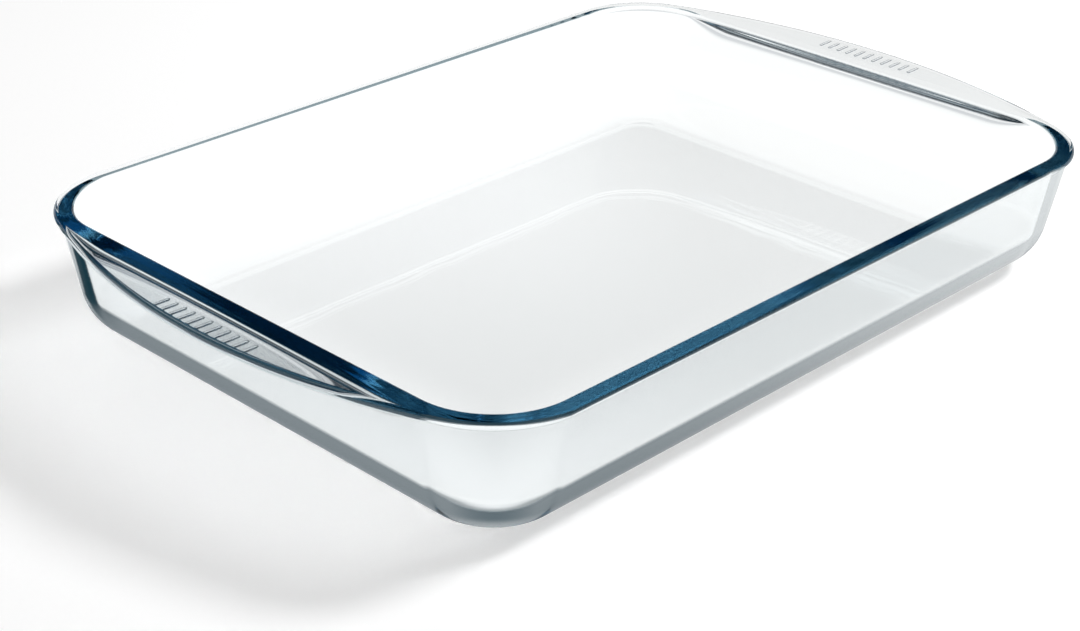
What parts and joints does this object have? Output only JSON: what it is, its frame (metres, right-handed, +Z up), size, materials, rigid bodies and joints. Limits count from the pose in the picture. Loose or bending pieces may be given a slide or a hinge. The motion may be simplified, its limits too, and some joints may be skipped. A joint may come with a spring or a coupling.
{
  "type": "lasagna dish",
  "caption": "Clear rectangular glass lasagna dish with sloping walls, a thick rounded rim and a crescent handle at each short end.",
  "frame": {"origin": "centre of the underside, on the plane that the dish stands on", "axes": "+X along the length towards one handle, +Y across the width, +Z up"},
  "size_m": [0.4, 0.269, 0.055],
  "materials": {
    "clear_glass": "gloss"
  },
  "bodies": {
    "root": {"base_panel": "clear_glass", "foot_band": "clear_glass", "side_wall": "clear_glass", "rim": "clear_glass", "handle_left": "clear_glass", "handle_right": "clear_glass", "grip_ribs_left": "clear_glass", "grip_ribs_right": "clear_glass"}
  },
  "joints": []
}
